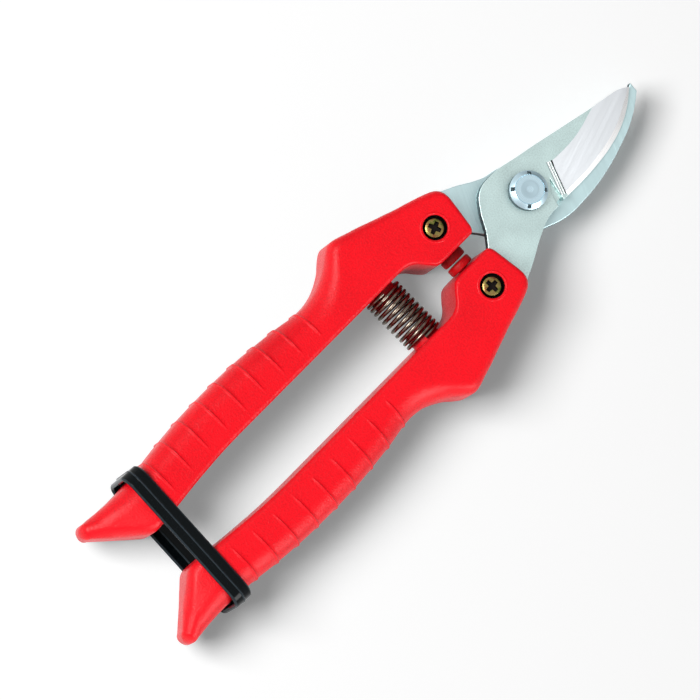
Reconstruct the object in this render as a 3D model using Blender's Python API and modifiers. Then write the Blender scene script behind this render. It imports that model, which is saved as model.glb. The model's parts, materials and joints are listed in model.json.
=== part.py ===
"""Bypass pruning shears, closed and held shut by the strap round the handle ends.

Frame: metres. The shears lie on their back, +Y runs to the blade tips, +X to the right and +Z up, out of
the front. The origin is in the middle of the overall length and width, on the surface that they lie on.
Every outline below is drawn round the pivot: X is measured from the pivot's axis, Y runs from it to the
tips, and Z from the plane in which the blades slide past each other.
"""

import math

import bmesh
import bpy
from mathutils import Matrix, Vector

MM = 0.001

# Overall
TIP_REACH = 39.5 * MM  # pivot to the tips of the closed blades
TAIL_REACH = 140.5 * MM  # pivot to the ends of the handles
FIT = 0.3 * MM  # gap between pieces that nest in or rest on each other

# Blades
BLADE_THICKNESS = 3.0 * MM
EDGE_THICKNESS = 0.5 * MM  # left at the ground cutting edge
PIVOT_BOSS = 9.1 * MM  # half width of the blades beside the pivot
EDGE_X = 8.1 * MM  # the cutting edge, out from the pivot
HOOK_X = 11.8 * MM  # the back of the hook, out from the pivot
HOOK_WIDTH = 6.1 * MM  # of the hook at its root
EDGE_START = 6.9 * MM  # where the cutting edge begins, up from the pivot
NOTCH_DEPTH = 6.3 * MM  # relief notch between the edge and the boss
TANG_LENGTH = 22.0 * MM  # inside the handle
TANG_ROOT_WIDTH = 7.8 * MM
TANG_END_WIDTH = 6.4 * MM

# Pivot bolt, washer and nut
BOLT_HEAD_RADIUS = 4.9 * MM
BOLT_HEAD_HEIGHT = 3.0 * MM
BOLT_HEAD_CHAMFER = 1.1 * MM
BOLT_NOTCH = 1.0 * MM  # width of the spanner notches in the rim
BOLT_SHOULDER_RADIUS = 3.0 * MM
BOLT_THREAD_RADIUS = 2.5 * MM
WASHER_RADIUS = 5.0 * MM
WASHER_THICKNESS = 0.8 * MM
PIVOT_NUT_ACROSS_FLATS = 8.0 * MM
PIVOT_NUT_HEIGHT = 3.6 * MM

# Handles
HANDLE_THICKNESS = 18.0 * MM
HANDLE_EDGE_RADIUS = 1.9 * MM
HEAD_HALF_GAP = 2.6 * MM  # centre line to a handle head's inner face
HEAD_TOP_INNER = 17.9 * MM  # the head's top edge, below the pivot
HEAD_TOP_OUTER = 16.0 * MM
HEAD_TOP_HALF = 15.7 * MM  # centre line to the head's outer top corner
HEAD_BOTTOM = 31.5 * MM  # where the inner face steps back for the spring
GRIP_HALF_GAP = 8.25 * MM  # centre line to a grip's inner face
GUARD_HALF = 25.6 * MM  # centre line to the tip of the finger guard
GUARD_DROP = 45.7 * MM
NECK_HALF = 18.85 * MM  # waist below the guard
NECK_DROP = 62.0 * MM
BELLY_HALF = 21.3 * MM  # widest part of the grip
TAIL_HALF = 19.0 * MM  # outer side under and below the strap
TAIL_FLARE = 0.75 * MM  # swell at the end that keeps the strap on
TAIL_HALF_GAP = 6.0 * MM

# Screws and nuts that hold the tangs
SCREW_X = 10.0 * MM
SCREW_DROP = 24.6 * MM
SCREW_RADIUS = 1.5 * MM
SCREW_HEAD_RADIUS = 2.65 * MM
SCREW_HEAD_HEIGHT = 2.0 * MM
SCREW_SUNK = 0.4 * MM  # head's crown, below the handle's face
RECESS_RADIUS = 3.2 * MM
CROSS_WIDTH = 0.9 * MM
CROSS_LENGTH = 3.0 * MM
CROSS_DEPTH = 1.2 * MM
HANDLE_NUT_ACROSS_FLATS = 5.5 * MM
HANDLE_NUT_HEIGHT = 2.4 * MM

# Buffers between the heads
BUMPER_RADIUS = 3.3 * MM
BUMPER_DROP = 24.6 * MM
BUMPER_GAP = 0.5 * MM  # between the two faces
BUMPER_STEM_RADIUS = 1.5 * MM
BUMPER_STEM_LENGTH = 1.6 * MM
BUMPER_EDGE = 0.6 * MM

# Return spring
SPRING_DROP = 43.8 * MM
WIRE_RADIUS = 0.5 * MM
COIL_RADIUS = 4.65 * MM  # to the middle of the wire
COIL_TURNS = 11
SPRING_BOSS_LENGTH = 3.6 * MM

# Strap that keeps the shears shut
STRAP_HALF_LENGTH = 21.05 * MM  # outside, across both handles
STRAP_WALL = 1.4 * MM
STRAP_WIDTH = 5.6 * MM
STRAP_CORNER = 4.0 * MM
STRAP_FROM_END = 17.9 * MM  # its middle, from the ends of the handles

PIVOT_Y = (TAIL_REACH - TIP_REACH) / 2
STRAP_HALF_DEPTH = HANDLE_THICKNESS / 2 + FIT + STRAP_WALL
STRAP_DROP = TAIL_REACH - STRAP_FROM_END
PIVOT = Vector((0, PIVOT_Y, STRAP_HALF_DEPTH))

SMOOTH, CORNER = "AUTO", "VECTOR"
RIGHT, LEFT = 1, -1
FRONT, BACK = 1, -1

MATERIALS = {
    "blade_steel": ((0.58, 0.66, 0.66), 0.32, 1.0),
    "hook_steel": ((0.46, 0.58, 0.60), 0.4, 1.0),
    "zinc": ((0.60, 0.60, 0.55), 0.3, 1.0),
    "red_nylon": ((0.85, 0.01, 0.02), 0.45, 0.0),
    "red_buffer": ((0.80, 0.01, 0.02), 0.55, 0.0),
    "bronze_zinc": ((0.50, 0.36, 0.20), 0.3, 1.0),
    "spring_steel": ((0.55, 0.54, 0.52), 0.25, 1.0),
    "black_strap": ((0.005, 0.006, 0.008), 0.2, 0.0),
}


def clear_scene():
    for obj in list(bpy.data.objects):
        bpy.data.objects.remove(obj, do_unlink=True)


def new_collection(name):
    collection = bpy.data.collections.new(name)
    bpy.context.scene.collection.children.link(collection)
    return collection


clear_scene()
SHEARS = new_collection("pruning_shears")
CUTTERS = new_collection("cutters")


def material(name):
    if name in bpy.data.materials:
        return bpy.data.materials[name]
    colour, roughness, metallic = MATERIALS[name]
    made = bpy.data.materials.new(name)
    made.use_nodes = True
    shader = made.node_tree.nodes["Principled BSDF"]
    shader.inputs["Base Color"].default_value = (*colour, 1)
    shader.inputs["Roughness"].default_value = roughness
    shader.inputs["Metallic"].default_value = metallic
    return made


def body_empty(name, place):
    empty = bpy.data.objects.new(name, None)
    empty.location = place
    SHEARS.objects.link(empty)
    return empty


def as_piece(obj, name, finish, body):
    """Names a modelled object, gives it its finish, and carries it on its body."""
    obj.name = obj.data.name = name
    obj.data.materials.clear()
    obj.data.materials.append(material(finish))
    obj.parent = body
    return obj


def as_cutter(obj):
    """Moves a helper out of the model: it only shapes other pieces."""
    for collection in list(obj.users_collection):
        collection.objects.unlink(obj)
    CUTTERS.objects.link(obj)
    obj.hide_render = True
    obj.display_type = "WIRE"
    obj.parent = RIG
    return obj


def boolean(obj, tool, operation="DIFFERENCE"):
    step = obj.modifiers.new(tool.name, "BOOLEAN")
    step.operation = operation
    step.object = tool


def rounded(obj, width, segments, angle=50):
    step = obj.modifiers.new("edges", "BEVEL")
    step.width = width
    step.segments = segments
    step.use_clamp_overlap = False
    step.limit_method = "ANGLE"
    step.angle_limit = math.radians(angle)


def plate(outlines, low, high, resolution=5):
    """A flat piece between two heights. Each outline is a list of (x, y) or (x, y, CORNER)."""
    curve = bpy.data.curves.new("outline", "CURVE")
    curve.dimensions = "2D"
    curve.fill_mode = "BOTH"
    curve.resolution_u = resolution
    curve.extrude = (high - low) / 2
    for outline in outlines:
        spline = curve.splines.new("BEZIER")
        spline.bezier_points.add(len(outline) - 1)
        spline.use_cyclic_u = True
        for point, (x, y, *kind) in zip(spline.bezier_points, outline):
            point.co = (x, y, 0)
            point.handle_left_type = point.handle_right_type = kind[0] if kind else SMOOTH
    flat = bpy.data.objects.new("outline", curve)
    SHEARS.objects.link(flat)
    flat.location = (0, 0, (low + high) / 2)
    bpy.context.view_layer.update()
    graph = bpy.context.evaluated_depsgraph_get()
    mesh = bpy.data.meshes.new_from_object(flat.evaluated_get(graph))
    mesh.transform(flat.matrix_world)
    bpy.data.objects.remove(flat)
    return from_mesh(mesh)


def from_mesh(mesh):
    """A solid object from a curve's mesh: caps welded, flat faces made whole, normals pointing out."""
    solid = bmesh.new()
    solid.from_mesh(mesh)
    bmesh.ops.remove_doubles(solid, verts=solid.verts, dist=0.000001)
    bmesh.ops.dissolve_limit(
        solid, angle_limit=math.radians(0.5), verts=solid.verts, edges=solid.edges
    )
    bmesh.ops.recalc_face_normals(solid, faces=solid.faces)
    solid.to_mesh(mesh)
    solid.free()
    obj = bpy.data.objects.new("solid", mesh)
    SHEARS.objects.link(obj)
    return obj


def cylinder(radius, low, high, sides=32):
    """A round bar, or a nut with six sides, along Z."""
    solid = bmesh.new()
    place = Matrix.Translation((0, 0, (low + high) / 2))
    bmesh.ops.create_cone(
        solid,
        cap_ends=True,
        segments=sides,
        radius1=radius,
        radius2=radius,
        depth=high - low,
        matrix=place,
    )
    mesh = bpy.data.meshes.new("cylinder")
    solid.to_mesh(mesh)
    solid.free()
    obj = bpy.data.objects.new("cylinder", mesh)
    SHEARS.objects.link(obj)
    return obj


def box(low, high):
    solid = bmesh.new()
    size = Vector(high) - Vector(low)
    middle = (Vector(high) + Vector(low)) / 2
    place = Matrix.Translation(middle) @ Matrix.Diagonal((*size, 1))
    bmesh.ops.create_cube(solid, size=1, matrix=place)
    mesh = bpy.data.meshes.new("box")
    solid.to_mesh(mesh)
    solid.free()
    obj = bpy.data.objects.new("box", mesh)
    SHEARS.objects.link(obj)
    return obj


def turned(profile, steps=28):
    """A turned piece: (radius, z) down its outer side, from the axis at its top to the axis at its foot."""
    mesh = bpy.data.meshes.new("profile")
    points = [(radius, 0, z) for radius, z in profile]
    mesh.from_pydata(points, [(i, i + 1) for i in range(len(points) - 1)], [])
    obj = bpy.data.objects.new("turned", mesh)
    SHEARS.objects.link(obj)
    spin = obj.modifiers.new("turning", "SCREW")
    spin.steps = spin.render_steps = steps
    spin.use_merge_vertices = True
    spin.merge_threshold = 0.00001
    return obj


def across_flats(distance):
    """The corner radius of a hexagon."""
    return distance / math.sqrt(3)


def head_top(x):
    """Height of the handle head's slanting top edge, at a distance x from the centre line."""
    share = (x - HEAD_HALF_GAP) / (HEAD_TOP_HALF - HEAD_HALF_GAP)
    return -HEAD_TOP_INNER + share * (HEAD_TOP_INNER - HEAD_TOP_OUTER)


def tang(clearance, top):
    """The tang's four corners for the right-hand side, grown by a clearance, from its root at the given top."""
    end = -HEAD_TOP_INNER - TANG_LENGTH - clearance
    middle = (HEAD_HALF_GAP + HEAD_TOP_HALF) / 2
    root = TANG_ROOT_WIDTH / 2 + clearance
    tip = TANG_END_WIDTH / 2 + clearance
    lean = (GRIP_HALF_GAP + NECK_HALF) / 2 - middle
    top_of = [top(middle + root), top(middle - root)]
    return [
        (middle + root, top_of[0], CORNER),
        (middle + root, -SCREW_DROP - root, CORNER),
        (middle + lean + tip, end, CORNER),
        (middle + lean - tip, end, CORNER),
        (middle - root, -SCREW_DROP - root, CORNER),
        (middle - root, top_of[1], CORNER),
    ]


def sided(points, side):
    """The same outline on the right, or mirrored to the left."""
    return [(side * x, y, *kind) for x, y, *kind in points]


def neck(side):
    """Shoulders and tang shared by both blades, from the outer shoulder round to the inner one."""

    def shoulder(x):
        return head_top(x) + FIT

    outer = HEAD_TOP_HALF - FIT
    inner = HEAD_HALF_GAP + 3 * FIT
    points = [
        (PIVOT_BOSS + 0.9 * MM, -4.9 * MM),
        (outer - 1.9 * MM, -11.6 * MM),
        (outer, shoulder(outer), CORNER),
        *tang(0, shoulder),
        (inner, shoulder(inner), CORNER),
        (0, -14.7 * MM),
        (-4.9 * MM, -11.8 * MM),
        (-8.2 * MM, -8.6 * MM),
        (-PIVOT_BOSS, -4.3 * MM),
    ]
    return sided(points, side)


def drill(obj, x, y, radius, low, high):
    tool = cylinder(radius, low, high)
    tool.location = (x, y, 0)
    boolean(obj, as_cutter(tool))


def bore_blade(obj, side, low, high):
    """Pivot bore and screw hole."""
    drill(obj, 0, 0, BOLT_SHOULDER_RADIUS + FIT, low - FIT, high + FIT)
    drill(obj, side * SCREW_X, -SCREW_DROP, SCREW_RADIUS + FIT, low - FIT, high + FIT)


def cutting_blade():
    """Front blade: convex cutting edge on the right, ground from the front, with its tang to the right."""
    low, high = FIT / 2, FIT / 2 + BLADE_THICKNESS
    notch_x = EDGE_X - NOTCH_DEPTH
    spine = [
        (-7.7 * MM, 4.8 * MM),
        (-4.65 * MM, 0.5 * TIP_REACH),
        (-3.2 * MM, 0.68 * TIP_REACH),
        (-2.4 * MM, 0.81 * TIP_REACH),
        (-1.6 * MM, 0.9 * TIP_REACH),
        (0, TIP_REACH - 1.2 * MM, CORNER),
    ]
    edge = [
        (0.4 * EDGE_X, 0.86 * TIP_REACH),
        (0.66 * EDGE_X, 0.757 * TIP_REACH),
        (0.85 * EDGE_X, 0.63 * TIP_REACH),
        (0.96 * EDGE_X, 0.48 * TIP_REACH),
        (EDGE_X, 0.32 * TIP_REACH),
        (EDGE_X - 0.1 * MM, EDGE_START, CORNER),
        (EDGE_X - 0.2 * MM, EDGE_START - 1.6 * MM, CORNER),
        (notch_x, EDGE_START - 0.4 * MM, CORNER),
        (notch_x + 2.8 * MM, EDGE_START - 2.7 * MM, CORNER),
        (EDGE_X, EDGE_START - 3.7 * MM, CORNER),
        (EDGE_X + 0.2 * MM, -0.2 * MM),
    ]
    blade = plate([neck(RIGHT) + spine + edge], low, high)
    bevel = box((-12 * MM, 0, 0), (12 * MM, 1.2 * TIP_REACH, 4 * BLADE_THICKNESS))
    width = EDGE_X + 1.2 * MM
    lean = math.atan2(BLADE_THICKNESS - EDGE_THICKNESS, width)
    bevel.rotation_euler = (0, lean, math.radians(4))
    bevel.location = (-1.2 * MM, EDGE_START + 2.4 * MM, high)
    boolean(blade, as_cutter(bevel))
    bore_blade(blade, RIGHT, low, high)
    return as_piece(blade, "cutting_blade", "blade_steel", RIGHT_HALF)


def counter_blade():
    """Rear blade: the hook that the cutting edge passes, with its tang to the left."""
    low, high = -FIT / 2 - BLADE_THICKNESS, -FIT / 2
    inner_x = HOOK_X - HOOK_WIDTH
    hook = [
        (HOOK_X - 0.2 * MM, 3.5 * MM),
        (HOOK_X, 0.25 * TIP_REACH),
        (HOOK_X - 0.8 * MM, 0.445 * TIP_REACH),
        (0.705 * HOOK_X, 0.7 * TIP_REACH),
        (0.53 * HOOK_X, 0.83 * TIP_REACH),
        (0.33 * HOOK_X, 0.93 * TIP_REACH),
        (1.9 * MM, TIP_REACH - 0.2 * MM, CORNER),
        (-0.6 * MM, TIP_REACH, CORNER),
        (0.35 * inner_x, 0.86 * TIP_REACH),
        (0.8 * inner_x, 0.66 * TIP_REACH),
        (inner_x, 0.42 * TIP_REACH),
        (inner_x - 0.8 * MM, 0.29 * TIP_REACH),
        (1.0 * MM, 0.22 * TIP_REACH),
        (-5.5 * MM, 5.6 * MM),
        (-PIVOT_BOSS + 0.3 * MM, 0),
    ]
    outline = neck(LEFT) + hook
    blade = plate([outline], low, high)
    bore_blade(blade, LEFT, low, high)
    return as_piece(blade, "counter_blade", "hook_steel", LEFT_HALF)


def pivot():
    """Bolt with a notched round head in front, washer and nut behind."""
    face = FIT / 2 + BLADE_THICKNESS
    seat = face + FIT
    top = seat + BOLT_HEAD_HEIGHT
    washer_top = -face - FIT
    nut_top = washer_top - WASHER_THICKNESS - FIT
    nut_foot = nut_top - PIVOT_NUT_HEIGHT
    rim = BOLT_HEAD_RADIUS
    bolt = turned(
        [
            (0, top),
            (rim - BOLT_HEAD_CHAMFER, top),
            (rim, top - BOLT_HEAD_CHAMFER),
            (rim, seat),
            (BOLT_SHOULDER_RADIUS, seat),
            (BOLT_SHOULDER_RADIUS, -face),
            (BOLT_THREAD_RADIUS, -face),
            (BOLT_THREAD_RADIUS, nut_foot),
            (0, nut_foot),
        ]
    )
    for quarter in range(2):
        notch = box(
            (-BOLT_NOTCH / 2, -2 * rim, top - BOLT_HEAD_CHAMFER / 2),
            (BOLT_NOTCH / 2, 2 * rim, top + FIT),
        )
        middle = cylinder(rim - BOLT_HEAD_CHAMFER / 2, seat, top + 2 * FIT)
        notch.rotation_euler = (0, 0, math.radians(45 + 90 * quarter))
        boolean(notch, as_cutter(middle))
        boolean(bolt, as_cutter(notch))
    as_piece(bolt, "pivot_bolt", "zinc", LEFT_HALF)

    bore = BOLT_THREAD_RADIUS + FIT
    washer = cylinder(WASHER_RADIUS, washer_top - WASHER_THICKNESS, washer_top)
    drill(washer, 0, 0, bore, washer_top - 2 * WASHER_THICKNESS, washer_top + FIT)
    as_piece(washer, "pivot_washer", "zinc", LEFT_HALF)

    nut = cylinder(across_flats(PIVOT_NUT_ACROSS_FLATS), nut_foot, nut_top, 6)
    drill(nut, 0, 0, bore, nut_foot - FIT, nut_top + FIT)
    as_piece(nut, "pivot_nut", "zinc", LEFT_HALF)


def handle_outline(side):
    """Round the right handle from its inner top corner: head, finger guard, grip, tail and back inside."""
    end = -TAIL_REACH
    strap = -STRAP_DROP
    belly = (-NECK_DROP + strap) / 2
    flare = TAIL_HALF + TAIL_FLARE
    step_back = GRIP_HALF_GAP - HEAD_HALF_GAP
    points = [
        (HEAD_HALF_GAP, head_top(HEAD_HALF_GAP), CORNER),
        (HEAD_TOP_HALF, head_top(HEAD_TOP_HALF), CORNER),
        (HEAD_TOP_HALF + 2.1 * MM, -HEAD_TOP_OUTER - 4.8 * MM),
        (0.83 * GUARD_HALF, -HEAD_BOTTOM - 1.9 * MM),
        (GUARD_HALF - 0.7 * MM, -GUARD_DROP + 2.2 * MM),
        (GUARD_HALF, -GUARD_DROP - 0.2 * MM),
        (GUARD_HALF - 0.8 * MM, -GUARD_DROP - 2.0 * MM),
        (NECK_HALF + 2.9 * MM, -GUARD_DROP - 5.7 * MM),
        (NECK_HALF + 0.7 * MM, -GUARD_DROP - 10.8 * MM),
        (NECK_HALF, -NECK_DROP),
        (NECK_HALF + 1.2 * MM, -NECK_DROP - 8.5 * MM),
        (BELLY_HALF - 0.1 * MM, belly + 8.0 * MM),
        (BELLY_HALF - 0.1 * MM, belly - 8.0 * MM),
        (TAIL_HALF + 0.4 * MM, strap + 4.0 * MM),
        (TAIL_HALF, strap - 2.6 * MM),
        (TAIL_HALF, strap - 8.0 * MM),
        (flare, end + 2.8 * MM),
        (flare - 0.7 * MM, end + 0.6 * MM),
        (flare - 2.2 * MM, end),
        (flare - 4.2 * MM, end + 1.2 * MM),
        (TAIL_HALF_GAP + 3.7 * MM, end + 8.2 * MM),
        (TAIL_HALF_GAP, strap - 4.5 * MM),
        (TAIL_HALF_GAP + 1.1 * MM, strap + 6.0 * MM),
        (GRIP_HALF_GAP - 0.1 * MM, strap + 22.0 * MM),
        (GRIP_HALF_GAP, strap + 32.0 * MM, CORNER),
        (GRIP_HALF_GAP, -HEAD_BOTTOM - 5.5 * MM),
        (HEAD_HALF_GAP + 0.6 * step_back, -HEAD_BOTTOM - 1.6 * MM),
        (HEAD_HALF_GAP, -HEAD_BOTTOM + 1.8 * MM, CORNER),
    ]
    return sided(points, side)


def screw_levels():
    """Z of the screw head's crown and seat, and of the nut pocket's floor."""
    crown = HANDLE_THICKNESS / 2 - SCREW_SUNK
    seat = crown - SCREW_HEAD_HEIGHT
    pocket = -HANDLE_THICKNESS / 2 + HANDLE_NUT_HEIGHT + FIT
    return crown, seat, pocket


def handle(name, side, level, body):
    """A moulded handle: spring boss, tang slot, holes for its screw, nut and buffer."""
    half = HANDLE_THICKNESS / 2
    piece = plate([handle_outline(side)], -half, half)
    rounded(piece, HANDLE_EDGE_RADIUS, 3)

    boss_radius = COIL_RADIUS - WIRE_RADIUS - FIT
    boss = cylinder(boss_radius, GRIP_HALF_GAP - SPRING_BOSS_LENGTH, GRIP_HALF_GAP + MM, 24)
    boss.rotation_euler = (0, side * math.radians(90), 0)
    boss.location = (0, -SPRING_DROP, 0)
    boolean(piece, as_cutter(boss), "UNION")

    low = level * (FIT + BLADE_THICKNESS) / 2 - BLADE_THICKNESS / 2 - FIT
    slot = plate(
        [sided(tang(FIT, lambda x: head_top(x) + 3 * MM), side)], low, low + BLADE_THICKNESS + 2 * FIT
    )
    boolean(piece, as_cutter(slot))

    _, seat, pocket = screw_levels()
    x = side * SCREW_X
    drill(piece, x, -SCREW_DROP, SCREW_RADIUS + FIT, -2 * half, 2 * half)
    drill(piece, x, -SCREW_DROP, RECESS_RADIUS, seat - FIT, 2 * half)
    hexagon = cylinder(across_flats(HANDLE_NUT_ACROSS_FLATS + 2 * FIT), -2 * half, pocket, 6)
    hexagon.location = (x, -SCREW_DROP, 0)
    boolean(piece, as_cutter(hexagon))

    depth = HEAD_HALF_GAP + BUMPER_STEM_LENGTH + FIT
    stem_hole = cylinder(BUMPER_STEM_RADIUS + FIT, 0, depth, 20)
    stem_hole.rotation_euler = (0, side * math.radians(90), 0)
    stem_hole.location = (0, -BUMPER_DROP, 0)
    boolean(piece, as_cutter(stem_hole))
    return as_piece(piece, name, "red_nylon", body)


def bumper(name, side, body):
    """A round soft buffer on a stem, pressed into the head's inner face."""
    face = BUMPER_GAP / 2
    foot = HEAD_HALF_GAP - FIT
    end = HEAD_HALF_GAP + BUMPER_STEM_LENGTH
    piece = turned(
        [
            (0, -face),
            (BUMPER_RADIUS - BUMPER_EDGE, -face),
            (BUMPER_RADIUS, -face - BUMPER_EDGE),
            (BUMPER_RADIUS, -foot),
            (BUMPER_STEM_RADIUS, -foot),
            (BUMPER_STEM_RADIUS, -end),
            (0, -end),
        ],
        24,
    )
    piece.rotation_euler = (0, -side * math.radians(90), 0)
    piece.location = (0, -BUMPER_DROP, 0)
    return as_piece(piece, name, "red_buffer", body)


def handle_screw(name, side, body):
    """Pan-head machine screw with a cross recess, from the front through the tang to its nut."""
    crown, seat, pocket = screw_levels()
    end = pocket - HANDLE_NUT_HEIGHT
    radius = SCREW_HEAD_RADIUS
    screw = turned(
        [
            (0, crown),
            (0.62 * radius, crown - 0.12 * SCREW_HEAD_HEIGHT),
            (0.92 * radius, crown - 0.42 * SCREW_HEAD_HEIGHT),
            (radius, crown - 0.7 * SCREW_HEAD_HEIGHT),
            (radius, seat),
            (SCREW_RADIUS, seat),
            (SCREW_RADIUS, end),
            (0, end),
        ],
        24,
    )
    for turn in (0, 90):
        arm = box(
            (-CROSS_LENGTH / 2, -CROSS_WIDTH / 2, crown - CROSS_DEPTH),
            (CROSS_LENGTH / 2, CROSS_WIDTH / 2, crown + FIT),
        )
        arm.rotation_euler = (0, 0, math.radians(turn + 12))
        arm.location = (side * SCREW_X, -SCREW_DROP, 0)
        boolean(screw, as_cutter(arm))
    screw.location = (side * SCREW_X, -SCREW_DROP, 0)
    return as_piece(screw, name, "bronze_zinc", body)


def handle_nut(name, side, body):
    """Hexagon nut held in its pocket in the back of the handle."""
    top = screw_levels()[2] - FIT
    nut = cylinder(across_flats(HANDLE_NUT_ACROSS_FLATS), top - HANDLE_NUT_HEIGHT, top, 6)
    nut.location = (side * SCREW_X, -SCREW_DROP, 0)
    hole = cylinder(SCREW_RADIUS + FIT, top - 2 * HANDLE_NUT_HEIGHT, top + FIT)
    hole.location = nut.location
    boolean(nut, as_cutter(hole))
    return as_piece(nut, name, "bronze_zinc", body)


def return_spring():
    """Compression coil over the two bosses, from one handle's inner face to the other's."""
    per_turn = 14
    reach = GRIP_HALF_GAP - FIT - WIRE_RADIUS
    count = COIL_TURNS * per_turn
    curve = bpy.data.curves.new("coil", "CURVE")
    curve.dimensions = "3D"
    curve.bevel_depth = WIRE_RADIUS
    curve.bevel_resolution = 2
    curve.use_fill_caps = True
    spline = curve.splines.new("POLY")
    spline.points.add(count)
    for step, point in enumerate(spline.points):
        angle = 2 * math.pi * step / per_turn
        x = -reach + 2 * reach * step / count
        point.co = (x, COIL_RADIUS * math.cos(angle), COIL_RADIUS * math.sin(angle), 1)
    spring = bpy.data.objects.new("coil", curve)
    SHEARS.objects.link(spring)
    spring.location = (0, -SPRING_DROP, 0)
    return as_piece(spring, "return_spring", "spring_steel", LEFT_HALF)


def round_box(half_x, half_y, radius, steps=5):
    """A rectangle with round corners, as points for an outline."""
    points = []
    for quarter in range(4):
        sign_x = 1 if quarter in (0, 3) else -1
        sign_y = 1 if quarter in (0, 1) else -1
        centre = Vector((sign_x * (half_x - radius), sign_y * (half_y - radius)))
        for step in range(steps + 1):
            angle = math.radians(90 * (quarter + step / steps))
            x = centre.x + radius * math.cos(angle)
            y = centre.y + radius * math.sin(angle)
            points.append((x, y, CORNER))
    return points


def latch_strap():
    """Closed strap round both handles. It is drawn off over their ends to let the shears open."""
    outside = round_box(STRAP_HALF_LENGTH, STRAP_HALF_DEPTH, STRAP_CORNER)
    inside = round_box(
        STRAP_HALF_LENGTH - STRAP_WALL,
        STRAP_HALF_DEPTH - STRAP_WALL,
        STRAP_CORNER - STRAP_WALL,
    )
    strap = plate([outside, inside], -STRAP_WIDTH / 2, STRAP_WIDTH / 2, 1)
    strap.rotation_euler = (math.radians(90), 0, 0)
    return as_piece(strap, "latch_strap", "black_strap", STRAP)


RIG = body_empty("shears_frame", PIVOT)
LEFT_HALF = body_empty("left_half", PIVOT)
RIGHT_HALF = body_empty("right_half", PIVOT)
STRAP = body_empty("strap_slide", PIVOT - Vector((0, STRAP_DROP, 0)))

cutting_blade()
counter_blade()
pivot()
for word, hand, layer, half_body in (
    ("right", RIGHT, FRONT, RIGHT_HALF),
    ("left", LEFT, BACK, LEFT_HALF),
):
    handle(f"{word}_handle", hand, layer, half_body)
    handle_screw(f"{word}_handle_screw", hand, half_body)
    handle_nut(f"{word}_handle_nut", hand, half_body)
    bumper(f"{word}_buffer", hand, half_body)
return_spring()
latch_strap()
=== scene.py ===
"""Bypass pruning shears, closed and strapped: the finished look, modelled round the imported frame.

Lengths are metres. Outlines are drawn in the frame of the pivot: X out from its axis, Y up to the tips and
Z from the plane in which the blades slide, so that (0, 0, 0) there is the pivot's place in the frame.
"""

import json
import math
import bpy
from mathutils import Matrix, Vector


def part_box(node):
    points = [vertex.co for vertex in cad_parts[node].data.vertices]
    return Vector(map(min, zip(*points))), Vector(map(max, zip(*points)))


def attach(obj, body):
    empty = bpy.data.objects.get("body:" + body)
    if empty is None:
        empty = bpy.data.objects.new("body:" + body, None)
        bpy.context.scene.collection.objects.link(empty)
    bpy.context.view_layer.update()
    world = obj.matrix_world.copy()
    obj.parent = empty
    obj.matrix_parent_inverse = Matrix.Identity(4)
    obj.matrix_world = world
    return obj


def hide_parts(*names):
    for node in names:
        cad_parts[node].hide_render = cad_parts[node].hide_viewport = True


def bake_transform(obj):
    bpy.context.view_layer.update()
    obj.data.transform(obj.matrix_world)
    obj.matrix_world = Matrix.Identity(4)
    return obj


bl_info = {
    "name": "Pruning Shears",
    "version": (1, 0, 0),
    "blender": (4, 5, 0),
    "location": "3D Viewport > Sidebar > Shears",
    "description": "Models compact bypass pruning shears with moulded handles and a latch strap",
    "category": "Object",
}

from contextlib import contextmanager

import bmesh
import bpy
from mathutils import Matrix, Vector

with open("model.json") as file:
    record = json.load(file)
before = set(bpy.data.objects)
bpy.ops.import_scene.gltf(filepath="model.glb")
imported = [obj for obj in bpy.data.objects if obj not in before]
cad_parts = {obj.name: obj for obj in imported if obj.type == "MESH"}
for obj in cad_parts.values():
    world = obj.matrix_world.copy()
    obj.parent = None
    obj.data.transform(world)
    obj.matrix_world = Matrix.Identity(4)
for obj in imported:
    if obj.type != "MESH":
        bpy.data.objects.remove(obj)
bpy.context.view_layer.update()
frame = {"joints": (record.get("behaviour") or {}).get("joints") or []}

MM = 0.001
PIVOT = Vector(frame["joints"][0]["pos_m"])
RIGHT, LEFT = 1, -1
SMOOTH, CORNER = "AUTO", "VECTOR"
FIT = 0.3 * MM
RED_SLOTS = ("red_nylon", "red_buffer")  # these throw no colour on the white card


def from_frame(node):
    """A node's box in the frame of the pivot."""
    low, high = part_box(node)
    return low - PIVOT, high - PIVOT


BLADE_LOW, BLADE_HIGH = from_frame("cutting_blade")
HOOK_LOW, HOOK_HIGH = from_frame("counter_blade")
HANDLE_LOW, HANDLE_HIGH = from_frame("right_handle")
SCREW_LOW, SCREW_HIGH = from_frame("right_handle_screw")
BUFFER_LOW, BUFFER_HIGH = from_frame("right_buffer")
SPRING_LOW, SPRING_HIGH = from_frame("return_spring")
STRAP_LOW, STRAP_HIGH = from_frame("latch_strap")
BOLT_LOW, BOLT_HIGH = from_frame("pivot_bolt")
WASHER_LOW, WASHER_HIGH = from_frame("pivot_washer")
NUT_LOW, NUT_HIGH = from_frame("pivot_nut")


def linear(hexa):
    """An sRGB hex colour as the linear values that shaders use."""
    channels = [int(hexa[i : i + 2], 16) / 255 for i in (1, 3, 5)]
    return tuple(c / 12.92 if c <= 0.04045 else ((c + 0.055) / 1.055) ** 2.4 for c in channels)


def length(name, description, default):
    return bpy.props.FloatProperty(
        name=name, description=description, default=default, min=0, unit="LENGTH", precision=5
    )


def colour(name, description, hexa):
    return bpy.props.FloatVectorProperty(
        name=name, description=description, default=linear(hexa), size=3, min=0, max=1, subtype="COLOR"
    )


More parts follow.
